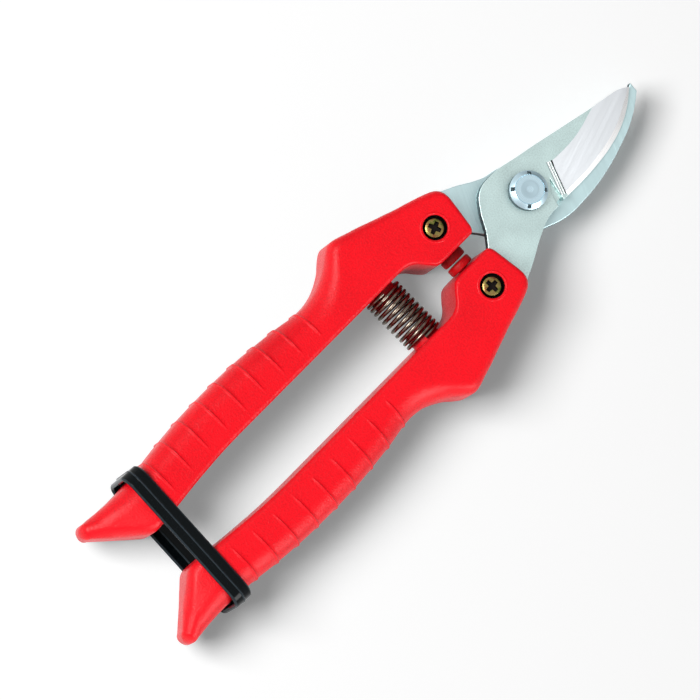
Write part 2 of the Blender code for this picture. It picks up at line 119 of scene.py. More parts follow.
class ShearsSizes(bpy.types.PropertyGroup):
    """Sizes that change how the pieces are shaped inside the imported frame."""

    ridge_height: length("Ridge height", "How far each grip ridge stands proud", 0.32 * MM)
    ridge_width: length("Ridge width", "Width of one grip ridge", 0.5 * MM)
    grip_round: length("Grip rounding", "Radius of the grips' outer sides", 5.6 * MM)
    face_edge: length("Inner edge", "Radius of the handles' inner edges", 1.1 * MM)
    bevel_drop: length("Bevel drop", "Depth of the blade's main bevel where the honed one starts", 1.9 * MM)
    cutting_edge: length("Cutting edge", "Thickness left at the cutting edge", 0.2 * MM)
    wire: length("Wire", "Diameter of the return spring's wire", 1.0 * MM)
    strap_skew: bpy.props.FloatProperty(
        name="Strap skew",
        description="How far the strap sits turned across the handles",
        default=math.radians(-2.7),
        subtype="ANGLE",
    )
    strap_lean: bpy.props.FloatProperty(
        name="Strap lean",
        description="How far the strap leans towards the blades at its front",
        default=math.radians(-2.6),
        subtype="ANGLE",
    )


class ShearsColours(bpy.types.PropertyGroup):
    """Colours of the pieces."""

    nylon: colour("Handles", "Moulded nylon of the handles", "#FC0C1E")
    buffer: colour("Buffers", "Soft plastic of the buffers", "#EE0A16")
    blade: colour("Blade", "Plated flat of the cutting blade", "#D3E9E7")
    ground: colour("Ground bevel", "Main bevel of the cutting blade", "#F7FBFF")
    honed: colour("Honed edge", "Honed edge of the cutting blade", "#FFFFFF")
    hook: colour("Counter blade", "Ground face of the counter blade", "#DAF5F8")
    zinc: colour("Pivot", "Zinc plate of the pivot bolt", "#D2EDF8")
    chromate: colour("Screws", "Yellow chromate of the handle screws", "#9C8A52")
    spring: colour("Spring", "Plated spring wire", "#80766A")
    strap: colour("Strap", "Gloss black of the strap", "#04080A")


# ---------------------------------------------------------------- modelling tools


def deselect():
    bpy.ops.object.select_all(action="DESELECT")


def choose(*objects):
    """Selects these objects only; the first is active."""
    deselect()
    for obj in objects:
        obj.select_set(True)
    bpy.context.view_layer.objects.active = objects[0]


@contextmanager
def editing(obj):
    """Opens a piece in edit mode with nothing selected, and closes it again."""
    choose(obj)
    bpy.ops.object.mode_set(mode="EDIT")
    bpy.ops.mesh.select_mode(type="VERT")
    bpy.ops.mesh.select_all(action="DESELECT")
    yield bmesh.from_edit_mesh(obj.data)
    bpy.ops.object.mode_set(mode="OBJECT")


def select_faces(obj, test):
    """In edit mode, selects the faces that pass a test of their middle and normal."""
    bpy.ops.mesh.select_mode(type="FACE")
    mesh = bmesh.from_edit_mesh(obj.data)
    for face in mesh.faces:
        face.select_set(bool(test(face.calc_center_median(), face.normal)))
    bmesh.update_edit_mesh(obj.data)


def named(name):
    """Names the object that an operator has just added."""
    obj = bpy.context.active_object
    obj.name = obj.data.name = name
    return obj


def applied(obj, modifier):
    choose(obj)
    bpy.ops.object.modifier_apply(modifier=modifier.name)


def settled(obj):
    """Puts a piece's place, turn and scale into its mesh, in the row frame."""
    choose(obj)
    bpy.ops.object.transform_apply(location=True, rotation=True, scale=True)
    return obj


def cleaned(obj, distance=0.000002):
    """Closes seams and turns the faces outwards."""
    with editing(obj):
        bpy.ops.mesh.select_all(action="SELECT")
        bpy.ops.mesh.remove_doubles(threshold=distance)
        bpy.ops.mesh.normals_make_consistent(inside=False)
    return obj


def cut(obj, tool, operation="DIFFERENCE"):
    """Cuts a tool out of a piece, or joins it on, and removes the tool. Cut faces keep its finish."""
    step = obj.modifiers.new("cut", "BOOLEAN")
    step.operation = operation
    step.object = tool
    step.material_mode = "TRANSFER"
    applied(obj, step)
    bpy.data.objects.remove(tool)


def softened(obj, width, segments=2, angle=35):
    step = obj.modifiers.new("edges", "BEVEL")
    step.width = width
    step.segments = segments
    step.limit_method = "ANGLE"
    step.angle_limit = math.radians(angle)
    step.harden_normals = False
    applied(obj, step)


def shaded(obj, angle=32):
    choose(obj)
    bpy.ops.object.shade_smooth_by_angle(angle=math.radians(angle))
    return obj


def painted(obj, *finishes):
    obj.data.materials.clear()
    for made in finishes:
        obj.data.materials.append(made)
    return obj


def carried(obj, node, body, slot):
    """A finished piece: it stands for its node and rides on its body; a slot in RED_SLOTS keeps it from
    throwing its colour on other things.
    """
    settled(obj)
    obj.visible_diffuse = slot not in RED_SLOTS
    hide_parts(node)
    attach(obj, body)
    return obj


def sided(points, side):
    return [(side * x, y, *kind) for x, y, *kind in points]


def plate(name, outline, low, high, edge):
    """A piece stamped from sheet: a closed outline between two heights, with its edges broken."""
    curve = bpy.data.curves.new(name, "CURVE")
    curve.dimensions = "2D"
    curve.fill_mode = "BOTH"
    curve.resolution_u = 10
    curve.extrude = (high - low) / 2 - edge
    curve.bevel_depth = edge
    curve.bevel_resolution = 1
    curve.offset = -edge
    spline = curve.splines.new("BEZIER")
    spline.bezier_points.add(len(outline) - 1)
    spline.use_cyclic_u = True
    for point, (x, y, *kind) in zip(spline.bezier_points, outline):
        point.co = (x * MM, y * MM, 0)
        point.handle_left_type = point.handle_right_type = kind[0] if kind else SMOOTH
    obj = bpy.data.objects.new(name, curve)
    bpy.context.scene.collection.objects.link(obj)
    obj.location = PIVOT + Vector((0, 0, (low + high) / 2))
    choose(obj)
    bpy.ops.object.convert(target="MESH")
    obj = settled(bpy.context.active_object)
    return cleaned(obj)


def wrapped(name, rows):
    """A closed skin wrapped round rows of points, each row a closed ring with as many points, and capped."""
    across = len(rows[0])
    bpy.ops.mesh.primitive_grid_add(x_subdivisions=len(rows) - 1, y_subdivisions=across, size=2)
    obj = named(name)
    last_row = len(rows) - 1
    for vertex in obj.data.vertices:
        row = round((vertex.co.x + 1) / 2 * last_row)
        column = round((vertex.co.y + 1) / 2 * across) % across
        vertex.co = rows[row][column]
    with editing(obj):
        bpy.ops.mesh.select_all(action="SELECT")
        bpy.ops.mesh.remove_doubles(threshold=0.000001)
        bpy.ops.mesh.select_all(action="DESELECT")
        bpy.ops.mesh.select_mode(type="EDGE")
        bpy.ops.mesh.select_non_manifold()
        bpy.ops.mesh.edge_face_add()
        bpy.ops.mesh.select_all(action="SELECT")
        bpy.ops.mesh.normals_make_consistent(inside=False)
    return obj


def smooth(table, at):
    """Values between the rows of a table whose first column rises, along smooth curves."""
    if at <= table[0][0]:
        return table[0][1:]
    if at >= table[-1][0]:
        return table[-1][1:]
    k = max(i for i in range(len(table) - 1) if table[i][0] <= at)
    here, there = table[k], table[k + 1]
    before, after = table[max(k - 1, 0)], table[min(k + 2, len(table) - 1)]
    span = there[0] - here[0]
    t = (at - here[0]) / span
    found = []
    for i in range(1, len(here)):
        rise_in = (there[i] - before[i]) / (there[0] - before[0]) * span
        rise_out = (after[i] - here[i]) / (after[0] - here[0]) * span
        found.append(
            (2 * t**3 - 3 * t**2 + 1) * here[i]
            + (t**3 - 2 * t**2 + t) * rise_in
            + (3 * t**2 - 2 * t**3) * there[i]
            + (t**3 - t**2) * rise_out
        )
    return found


def ramp(value, start, end):
    """0 before start, 1 after end, and a smooth rise between them."""
    t = min(max((value - start) / (end - start), 0), 1)
    return t * t * (3 - 2 * t)


# ---------------------------------------------------------------- finishes


def per(millimetres):
    """The scale of a texture whose features are this far apart."""
    return 1 / (millimetres * MM)


def add(tree, kind, inputs=(), **settings):
    """Adds a node with its settings, and values or sockets for its inputs; gives its first live output."""
    node = tree.nodes.new(kind)
    for key, value in settings.items():
        setattr(node, key, value)
    for key, value in dict(inputs).items():
        if isinstance(value, bpy.types.NodeSocket):
            tree.links.new(value, node.inputs[key])
        else:
            node.inputs[key].default_value = value
    return next(output for output in node.outputs if output.enabled)


def new_finish(name, metallic=0.0, **constants):
    """A material with its Principled shader, and the Object coordinates that its patterns read."""
    made = bpy.data.materials.new(name)
    made.use_nodes = True
    tree = made.node_tree
    shader = tree.nodes["Principled BSDF"]
    shader.inputs["Metallic"].default_value = metallic
    for key, value in constants.items():
        shader.inputs[key.replace("_", " ")].default_value = value
    place = add(tree, "ShaderNodeTexCoord").node.outputs["Object"]
    return made, tree, shader, place


def between(tree, pattern, low, high):
    """A pattern's middle, 0.3 to 0.7, spread over a new range."""
    limits = {"Value": pattern, "From Min": 0.3, "From Max": 0.7, "To Min": low, "To Max": high}
    return add(tree, "ShaderNodeMapRange", limits)


def toned(tree, shader, pattern, base, dark, low=0.0, high=1.0):
    """Base colour between two tones by a pattern."""
    amount = between(tree, pattern, low, high)
    ends = {"Factor": amount, "A": (*base, 1), "B": (*dark, 1)}
    tone = add(tree, "ShaderNodeMix", ends, data_type="RGBA")
    tree.links.new(tone, shader.inputs["Base Color"])


def roughened(tree, shader, pattern, low, high):
    """Roughness that follows a pattern."""
    tree.links.new(between(tree, pattern, low, high), shader.inputs["Roughness"])


def embossed(tree, shader, height, depth):
    """Relief from a pattern: depth is its height in millimetres."""
    relief = add(tree, "ShaderNodeBump", {"Height": height, "Distance": depth * MM, "Strength": 1.0})
    tree.links.new(relief, shader.inputs["Normal"])


def moulded_nylon(name, base, roughness, grain):
    """Glass-filled nylon, injection moulded against a spark-eroded steel tool.

    The tool leaves an even fine grain that breaks a highlight into sparkles. The real grain is about 0.15 mm;
    it is drawn at the size given so that it shows.
    """
    made, tree, shader, place = new_finish(name, IOR=1.53, Specular_IOR_Level=0.22)
    pits = add(
        tree, "ShaderNodeTexNoise", {"Vector": place, "Scale": per(grain), "Detail": 3.0, "Roughness": 0.6}
    )
    flow = add(tree, "ShaderNodeTexNoise", {"Vector": place, "Scale": per(14), "Detail": 2.0})
    deep = tuple(c * 0.68 for c in base)
    both = add(tree, "ShaderNodeMix", {"Factor": 0.7, "A": flow, "B": pits}, data_type="FLOAT")
    toned(tree, shader, both, base, deep)
    roughened(tree, shader, pits, roughness - 0.06, roughness + 0.1)
    embossed(tree, shader, pits, 0.11)
    return made


def ground_steel(name, base, lines, angle, roughness, depth, contrast):
    """Hardened steel ground flat: fine parallel scratches from the wheel run across it.

    Real scratches are some hundredths of a millimetre apart; they are drawn at the spacing given.
    """
    made, tree, shader, place = new_finish(name, metallic=1.0)
    along = 18.0
    turn = {"Vector": place, "Rotation": (0, 0, math.radians(angle))}
    turned_to = add(tree, "ShaderNodeMapping", turn, vector_type="TEXTURE")
    stretch = {"Vector": turned_to, "Scale": (per(along), per(lines), per(along))}
    stretched = add(tree, "ShaderNodeMapping", stretch)
    scratch = add(
        tree,
        "ShaderNodeTexNoise",
        {"Vector": stretched, "Scale": 1.0, "Detail": 4.0, "Roughness": 0.65},
    )
    cloud = add(tree, "ShaderNodeTexNoise", {"Vector": place, "Scale": per(5), "Detail": 2.0})
    both = add(tree, "ShaderNodeMath", {0: scratch, 1: cloud}, operation="MULTIPLY")
    dark_tone = tuple(c * (1 - contrast) for c in base)
    toned(tree, shader, both, base, dark_tone, 1.6, -1.2)
    roughened(tree, shader, scratch, roughness - 0.06, roughness + 0.08)
    embossed(tree, shader, scratch, depth)
    return made


def plated_sheet(name, base):
    """Tool steel plate, bead blasted and thinly hard chromed: pale, satin and slightly mottled."""
    made, tree, shader, place = new_finish(name, metallic=1.0)
    blast = add(tree, "ShaderNodeTexNoise", {"Vector": place, "Scale": per(0.42), "Detail": 3.0})
    cloud = add(tree, "ShaderNodeTexNoise", {"Vector": place, "Scale": per(7), "Detail": 3.0})
    both = add(tree, "ShaderNodeMix", {"Factor": 0.6, "A": cloud, "B": blast}, data_type="FLOAT")
    dull = tuple(c * 0.66 for c in base)
    toned(tree, shader, both, base, dull)
    roughened(tree, shader, blast, 0.38, 0.54)
    embossed(tree, shader, blast, 0.02)
    return made


def turned_zinc(name, base, centre):
    """Steel turned on a lathe and zinc plated: rings from the tool run round the pivot's axis."""
    made, tree, shader, place = new_finish(name, metallic=1.0)
    centred = add(
        tree, "ShaderNodeMapping", {"Vector": place, "Location": centre}, vector_type="TEXTURE"
    )
    rings = add(
        tree,
        "ShaderNodeTexWave",
        {"Vector": centred, "Scale": per(0.5) / 20, "Distortion": 0.6, "Detail": 2.0},
        wave_type="RINGS",
        rings_direction="Z",
    ).node.outputs["Fac"]
    dull = tuple(c * 0.72 for c in base)
    toned(tree, shader, rings, base, dull, 0.0, 0.8)
    roughened(tree, shader, rings, 0.24, 0.36)
    embossed(tree, shader, rings, 0.008)
    return made


def yellow_chromate(name, base):
    """Steel fastener, zinc plated and passivated yellow: the film shifts between olive, gold and brown."""
    made, tree, shader, place = new_finish(name, metallic=1.0, Roughness=0.26)
    film = add(
        tree, "ShaderNodeTexNoise", {"Vector": place, "Scale": per(1.3), "Detail": 2.0, "Distortion": 0.8}
    )
    tones = add(tree, "ShaderNodeValToRGB", {"Fac": film})
    stops = tones.node.color_ramp.elements
    stops[0].position = 0.34
    stops[0].color = (*linear("#5E6B2C"), 1)
    stops[1].position = 0.66
    stops[1].color = (*linear("#8C5A3A"), 1)
    middle = stops.new(0.5)
    middle.color = (*base, 1)
    tree.links.new(tones, shader.inputs["Base Color"])
    return made


def drawn_wire(name, base):
    """Spring wire, cold drawn and nickel plated: bright, with faint die lines and a few duller patches."""
    made, tree, shader, place = new_finish(name, metallic=1.0)
    die = add(tree, "ShaderNodeTexNoise", {"Vector": place, "Scale": per(0.8), "Detail": 3.0})
    dull = tuple(c * 0.5 for c in base)
    toned(tree, shader, die, base, dull)
    roughened(tree, shader, die, 0.06, 0.16)
    return made


def sheared_edge_and_shade(name):
    """The cut edge of stamped plate, torn rather than ground and rough; painted darker than the faces, as
    painted shade on upright sides, in notches and in grooves.
    """
    made, tree, shader, place = new_finish(name, metallic=1.0, Roughness=0.6)
    tear = add(tree, "ShaderNodeTexNoise", {"Vector": place, "Scale": per(0.3), "Detail": 3.0})
    toned(tree, shader, tear, linear("#66757A"), linear("#2F3C43"))
    embossed(tree, shader, tear, 0.015)
    return made


def painted_shade_finish(name):
    """Painted shade for wells, crosses and the step under the bevel: nearly black, with a dull shine."""
    made, tree, shader, place = new_finish(name, Specular_IOR_Level=0.15)
    film = add(tree, "ShaderNodeTexNoise", {"Vector": place, "Scale": per(0.7), "Detail": 2.0})
    toned(tree, shader, film, linear("#1A0A08"), linear("#070605"))
    roughened(tree, shader, film, 0.35, 0.7)
    return made


def gloss_polypropylene(name, base):
    """Black polypropylene, moulded against a polished tool: wet gloss with a slow ripple and fine scuffs."""
    made, tree, shader, place = new_finish(name, IOR=1.49, Specular_IOR_Level=0.11)
    ripple = add(tree, "ShaderNodeTexNoise", {"Vector": place, "Scale": per(5), "Detail": 1.0})
    scuffs = add(tree, "ShaderNodeTexNoise", {"Vector": place, "Scale": per(0.6), "Detail": 4.0})
    dull = tuple(c * 1.4 for c in base)
    toned(tree, shader, scuffs, base, dull, -0.4, 1.0)
    roughened(tree, shader, scuffs, 0.1, 0.2)
    embossed(tree, shader, ripple, 0.03)
    return made


# ---------------------------------------------------------------- blades

# Half of the head's top edge: its inner and outer ends, down from the pivot, in millimetres.
HEAD_INNER, HEAD_OUTER = 2.6, 15.7
HEAD_TOP_INNER, HEAD_TOP_OUTER = 17.9, 16.0
TANG_LENGTH, TANG_ROOT, TANG_END = 22.0, 3.9, 3.2
SCREW_X, SCREW_DROP = 10.0, 24.6
FIT_MM = FIT / MM
SHOULDER_RADIUS, THREAD_RADIUS = 3.0 * MM, 2.5 * MM  # the pivot bolt's
TANG_SCREW_RADIUS, SCREW_HEAD_RADIUS, WELL_RADIUS = 1.5 * MM, 2.6 * MM, 3.15 * MM
STEM_RADIUS, STEM_REACH = 1.5 * MM, 4.5 * MM  # of the buffers' stems and the holes for them
BUFFER_Y = (BUFFER_LOW.y + BUFFER_HIGH.y) / 2


def head_top(x):
    """Height of the handle head's slanting top edge."""
    share = (x - HEAD_INNER) / (HEAD_OUTER - HEAD_INNER)
    return -HEAD_TOP_INNER + share * (HEAD_TOP_INNER - HEAD_TOP_OUTER)


def tang(clearance, above):
    """Outline of a tang in its handle, for the right-hand side, from its root's outer corner."""
    end = -HEAD_TOP_INNER - TANG_LENGTH - clearance
    middle = (HEAD_INNER + HEAD_OUTER) / 2
    root, tip = TANG_ROOT + clearance, TANG_END + clearance
    lean = 4.4
    bend = -SCREW_DROP - root
    return [
        (middle + root, head_top(middle + root) + above, CORNER),
        (middle + root, bend, CORNER),
        (middle + lean + tip, end, CORNER),
        (middle + lean - tip, end, CORNER),
        (middle - root, bend, CORNER),
        (middle - root, head_top(middle - root) + above, CORNER),
    ]


def neck(side):
    """Shoulders and tang that both blades share, from the outer shoulder round to the inner one."""
    outer, inner = HEAD_OUTER - FIT_MM, HEAD_INNER + 3 * FIT_MM
    points = [
        (10.0, -4.9), (outer - 1.9, -11.6), (outer, head_top(outer) + FIT_MM, CORNER),
        *tang(0, FIT_MM), (inner, head_top(inner) + FIT_MM, CORNER), (0, -14.7), (-4.9, -11.8),
        (-8.2, -8.6), (-9.1, -4.3),
    ]
    return sided(points, side)


def rod(name, radius, low, high, place=(0, 0), sides=48, top_radius=None):
    """A round or six-sided bar along Z between two heights, at a place in the pivot's frame."""
    middle = PIVOT + Vector((place[0] * MM, place[1] * MM, (low + high) / 2))
    bpy.ops.mesh.primitive_cone_add(
        vertices=sides,
        radius1=radius,
        radius2=radius if top_radius is None else top_radius,
        depth=high - low,
        location=middle,
    )
    return named(name)


def cross_bar(name, radius, start, end, y, sides):
    """A round bar along X between two places, at the middle of the pieces' thickness."""
    bpy.ops.mesh.primitive_cylinder_add(
        vertices=sides,
        radius=radius,
        depth=abs(end - start),
        location=PIVOT + Vector(((start + end) / 2, y, 0)),
        rotation=(0, math.radians(90), 0),
    )
    return settled(named(name))


def drill(obj, radius, low, high, finish, place=(0, 0)):
    cut(obj, painted(rod("drill", radius, low, high, place), finish))


# Upper edge of the main bevel, start of the honed edge, and the cutting edge: (up, x, x, x).
BEVEL_LINES = [
    (4.0, -0.9, 6.95, 8.4),
    (10.0, -0.9, 6.95, 8.3),
    (14.8, -0.8, 6.9, 8.2),
    (18.6, -1.05, 6.5, 7.85),
    (21.9, -1.7, 6.05, 7.4),
    (25.4, -2.7, 5.35, 6.75),
    (29.4, -3.8, 4.1, 5.55),
    (33.5, -4.8, 2.1, 3.6),
    (36.7, -5.6, 0.3, 1.75),
    (39.5, -6.2, -1.7, -0.2),
    (42.0, -6.8, -3.6, -2.0),
]
PLUNGE_LOW, PLUNGE_HIGH = (7.2, 7.0), (-1.0, 10.1)


def below_plunge(reach, down_to):
    """The plunge line stretched both ways, and the way from it towards the handles."""
    low, high = Vector(PLUNGE_LOW), Vector(PLUNGE_HIGH)
    along = (high - low).normalized()
    down = Vector((along.y, -along.x))
    if down.y > 0:
        down = -down
    lower, upper = low - along * reach, high + along * reach
    return [lower, upper, upper + down * down_to, lower + down * down_to], down


def bevel_tool(drop, edge, ground, honed):
    """The grinder's two passes along the edge, as one solid that is cut from the blade."""
    front, back = BLADE_HIGH.z, BLADE_LOW.z
    clear = front + 4 * MM
    rows = []
    start, end, count = 3.0, 41.5, 76
    for step in range(count + 1):
        up = start + (end - start) * step / count
        top, inner, outer = smooth(BEVEL_LINES, up)
        middle_z = front - drop
        edge_z = back + edge
        fall = (middle_z - edge_z) / (outer - inner)
        beyond = outer + 1.6
        profile = [
            (top - 0.4, clear),
            (top, front),
            (inner, middle_z),
            (outer, edge_z),
            (beyond, edge_z - fall * (beyond - outer)),
            (beyond, clear),
        ]
        rows.append([PIVOT + Vector((x * MM, up * MM, z)) for x, z in profile])
    tool = wrapped("grinder", rows)
    painted(tool, ground, honed)
    for face in tool.data.polygons:
        centre = face.center - PIVOT
        inner = smooth(BEVEL_LINES, centre.y / MM)[1]
        if abs(face.normal.z) > 0.2 and centre.z < front - drop * 0.98 and centre.x / MM > inner - 0.3:
            face.material_index = 1
    # nothing is ground below the plunge line
    corners, down = below_plunge(8, 16)
    guard = plate("guard", [(*c, CORNER) for c in corners], back - 4 * MM, clear + MM, 0.01 * MM)
    cut(tool, painted(guard, ground))
    return tool


def plunge_tools(line, groove, shadow):
    """The step below the bevel, painted dark as shade, and the fine lines that the wheel leaves where it runs
    out, with painted shade in their grooves.
    """
    front = BLADE_HIGH.z
    tools = []
    # how far below the bevel, width and depth of each line in millimetres
    for below, wide, deep, finish in (
        (-0.1, 0.42, 0.3, shadow),
        (0.5, 0.26, 0.06, line),
        (0.84, 0.09, 0.1, groove),
        (1.06, 0.28, 0.06, line),
        (1.46, 0.11, 0.1, groove),
    ):
        corners, down = below_plunge(0.1, wide)
        corners = [(*(c + down * below), CORNER) for c in corners]
        tool = plate("line", corners, front - deep * MM, front + MM, 0.01 * MM)
        tools.append(painted(tool, finish))
    return tools


# Thin floor left under the notch, between the heel of the edge and the body of the blade.
WEB = [(7.0, 5.6, CORNER), (1.6, 6.9, CORNER), (4.2, 3.9, CORNER), (7.2, 3.2, CORNER)]


def edged(obj, face, side):
    """Paints a stamped piece: one finish on its faces and chamfers, another on its upright sides."""
    painted(obj, face, side)
    for polygon in obj.data.polygons:
        polygon.material_index = int(abs(polygon.normal.z) < 0.3)
    return obj


def drill_blade(blade, low, high, side, finish):
    """Bores a blade for the pivot, and its tang for the handle's screw."""
    drill(blade, SHOULDER_RADIUS + FIT, low - MM, high + MM, finish)
    drill(blade, TANG_SCREW_RADIUS + FIT, low - MM, high + MM, finish, (side * SCREW_X, -SCREW_DROP))


def make_cutting_blade(context):
    sizes, colours = context.scene.shears_sizes, context.scene.shears_colours
    plated = plated_sheet("hard chromed tool steel", tuple(colours.blade))
    ground = ground_steel("ground tool steel", tuple(colours.ground), 0.3, -72, 0.44, 0.014, 0.15)
    honed = ground_steel("honed tool steel", tuple(colours.honed), 0.15, -72, 0.3, 0.004, 0.05)
    spine = [(-7.7, 4.8), (-4.65, 19.9), (-3.2, 26.9), (-2.4, 32.0), (-1.6, 35.5), (-0.1, 38.3, CORNER)]
    edge = [
        (3.25, 34.0), (5.35, 29.9), (6.9, 24.9), (7.78, 19.0), (8.1, 12.6), (8.0, 6.9, CORNER),
        (7.9, 5.3, CORNER), (1.8, 6.5, CORNER), (4.6, 4.2, CORNER), (8.1, 3.2, CORNER),
        (8.3, -0.2),
    ]
    blade = plate("blade", neck(RIGHT) + spine + edge, BLADE_LOW.z, BLADE_HIGH.z, 0.14 * MM)
    # painted shade: the upright sides are rough cut steel, and their much darker colour is painted shade
    sheared_and_shade = sheared_edge_and_shade("stamped blade edge with painted shade")
    edged(blade, plated, sheared_and_shade)
    for polygon in blade.data.polygons:
        x, y = (polygon.center - PIVOT).xy / MM
        if 0.5 < x < 8.05 and 3.0 < y < 6.7:  # the notch's walls are plated like the faces
            polygon.material_index = 0
    web = plate("web", WEB, BLADE_LOW.z, BLADE_LOW.z + 1.9 * MM, 0.05 * MM)
    cut(blade, painted(web, plated), "UNION")
    # painted shade: the step under the bevel and the grooves between the fine lines are painted nearly black
    # and dark grey
    for tool in plunge_tools(honed, sheared_and_shade, painted_shade_finish("painted shade under the bevel")):
        cut(blade, tool)
    cut(blade, bevel_tool(sizes.bevel_drop, sizes.cutting_edge, ground, honed))
    drill_blade(blade, BLADE_LOW.z, BLADE_HIGH.z, RIGHT, plated)
    blade.name = blade.data.name = "ground_cutting_blade"
    shaded(blade, 12)
    carried(blade, "cutting_blade", "right_half", "blade_steel")


def make_counter_blade(context):
    colours = context.scene.shears_colours
    brushed = ground_steel("cross-ground steel", tuple(colours.hook), 0.45, -25, 0.46, 0.03, 0.24)
    hook = [
        (11.6, 3.5), (11.8, 9.9), (11.0, 17.6), (8.3, 27.7), (6.3, 32.7), (3.9, 36.7),
        (1.95, 39.3, CORNER), (-0.6, 39.5, CORNER), (1.95, 34.0), (4.55, 26.1), (5.7, 16.6),
        (4.9, 11.5), (1.0, 8.7), (-5.5, 5.6), (-8.8, 0),
    ]
    blade = plate("hook", neck(LEFT) + hook, HOOK_LOW.z, HOOK_HIGH.z, 0.2 * MM)
    # painted shade: the upright sides are rough cut steel, painted much darker than the ground face
    edged(blade, brushed, sheared_edge_and_shade("stamped hook edge with painted shade"))
    drill_blade(blade, HOOK_LOW.z, HOOK_HIGH.z, LEFT, brushed)
    blade.name = blade.data.name = "hooked_counter_blade"
    shaded(blade, 12)
    carried(blade, "counter_blade", "left_half", "hook_steel")


# ---------------------------------------------------------------- pivot


def inset_top(obj, steps):
    """Insets the top face again and again: each step is (inwards, upwards) in millimetres."""
    with editing(obj):
        top = max(v.co.z for v in obj.data.vertices)
        select_faces(obj, lambda middle, normal: middle.z > top - 0.00001 and normal.z > 0.9)
        for inwards, upwards in steps:
            bpy.ops.mesh.inset(thickness=inwards * MM, depth=upwards * MM)


def make_pivot(context):
    colours = context.scene.shears_colours
    zinc = turned_zinc("zinc plated turned steel", tuple(colours.zinc), tuple(PIVOT))
    seat = BLADE_HIGH.z + FIT
    radius = BOLT_HIGH.x
    chamfer = 1.0 * MM
    head = rod("bolt", radius, seat, BOLT_HIGH.z - chamfer, sides=96)
    rings = [(0.12, 0.1), (0.8, 0.8), (0.2, 0.1), (0.05, -0.12), (0.12, 0.0), (0.06, 0.1)]
    face = [(0.5, 0.01), (0.08, -0.012), (0.5, 0.0), (0.08, 0.012), (0.5, 0.01), (0.1, -0.014), (0.62, 0.0)]
    dimple = [(0.3, -0.03), (0.35, -0.05)]
    inset_top(head, rings + face + dimple)
    settled(head)
    # painted shade: the head's upright side and the notches are painted dark grey
    dark_tone = sheared_edge_and_shade("painted shade on the pivot's sides and notches")
    edged(head, zinc, dark_tone)
    for quarter in range(2):
        notch_floor = BOLT_HIGH.z - 0.75 * MM
        bpy.ops.mesh.primitive_cube_add(size=1, location=PIVOT + Vector((0, 0, notch_floor + MM)))
        notch = named("notch")
        notch.scale = (1.0 * MM, 3 * radius, 2 * MM)
        notch.rotation_euler = (0, 0, math.radians(45 + 90 * quarter))
        settled(notch)
        cut(notch, rod("core", radius - 1.15 * MM, seat, BOLT_HIGH.z + 3 * MM, sides=64))
        cut(head, painted(notch, dark_tone))
    shank = rod("shank", SHOULDER_RADIUS, -BLADE_HIGH.z, seat + 0.1 * MM)
    low = BOLT_LOW.z
    end = 0.35 * MM
    thread = rod("thread", THREAD_RADIUS, low + end, -BLADE_HIGH.z + 0.1 * MM)
    tip = rod("tip", THREAD_RADIUS - end, low, low + end + 0.01 * MM, top_radius=THREAD_RADIUS)
    for part in (shank, thread, tip):
        cut(head, painted(part, zinc), "UNION")
    head.name = head.data.name = "notched_pivot_bolt"
    shaded(head, 20)
    carried(head, "pivot_bolt", "left_half", "zinc")

    washer = rod("plain_washer", WASHER_HIGH.x, WASHER_LOW.z, WASHER_HIGH.z, sides=64)
    softened(settled(washer), 0.15 * MM)
    drill(painted(washer, zinc), THREAD_RADIUS + FIT, WASHER_LOW.z - MM, WASHER_HIGH.z + MM, zinc)
    shaded(washer)
    carried(washer, "pivot_washer", "left_half", "zinc")

    nut = hexagon_nut("pivot_lock_nut", 8.0, NUT_LOW.z, NUT_HIGH.z, THREAD_RADIUS + FIT, zinc)
    carried(nut, "pivot_nut", "left_half", "zinc")


def hexagon_nut(name, across_flats, low, high, bore, finish, place=(0, 0)):
    """A hexagon nut whose corners are turned off at both faces, as a bar-turned nut's are."""
    corner = across_flats / math.sqrt(3) * MM
    flat = across_flats / 2 * MM
    nut = rod(name, corner, low, high, place, sides=6)
    settled(nut)
    lean = 0.45 * (corner - flat)
    turned_off = rod("cone", flat, low, low + (high - low) / 2, place, 64, corner + 2 * lean)
    upper = rod("cone", corner + 2 * lean, low + (high - low) / 2, high, place, 64, flat)
    cut(turned_off, upper, "UNION")
    cut(nut, turned_off, "INTERSECT")
    drill(painted(nut, finish), bore, low - MM, high + MM, finish, place)
    return shaded(nut, 25)


# ---------------------------------------------------------------- handles

# Ribs across the right handle from its top to its tail, in millimetres from the pivot:
# the inner end's x and y, then the outer end's x and y.
HANDLE_RIBS = [
    (2.6, -17.9, 15.7, -16.0),
    (2.6, -21.2, 17.5, -20.1),
    (2.6, -25.2, 19.05, -24.8),
    (2.6, -28.6, 20.15, -28.6),
    (3.0, -30.6, 21.0, -31.0),
    (4.7, -32.4, 21.7, -33.2),
    (6.7, -34.1, 22.55, -35.6),
    (7.9, -36.2, 23.45, -38.2),
    (8.25, -39.0, 24.3, -41.0),
    (8.25, -42.0, 25.15, -43.6),
    (8.25, -44.2, 25.5, -45.2),
    (8.25, -46.4, 25.35, -46.6),
    (8.25, -48.4, 24.1, -48.6),
    (8.25, -51.2, 21.9, -51.4),
    (8.25, -56.5, 19.55, -56.5),
    (8.25, -62.0, 18.85, -62.0),
    (8.25, -70.5, 20.0, -70.5),
    (8.25, -84.0, 21.15, -84.0),
    (8.15, -100.0, 21.15, -100.0),
    (7.4, -111.0, 20.3, -111.0),
    (6.6, -118.5, 19.4, -118.5),
    (6.0, -125.0, 19.0, -125.0),
    (6.2, -127.6, 18.95, -128.6),
    (8.3, -130.4, 19.1, -132.0),
    (11.9, -134.7, 19.45, -135.4),
]
NOSE = (17.6, -138.0)  # middle of the rounded end
NOSE_RADIUS = 2.1
NOSE_AIM = math.radians(-67)  # way the tail points
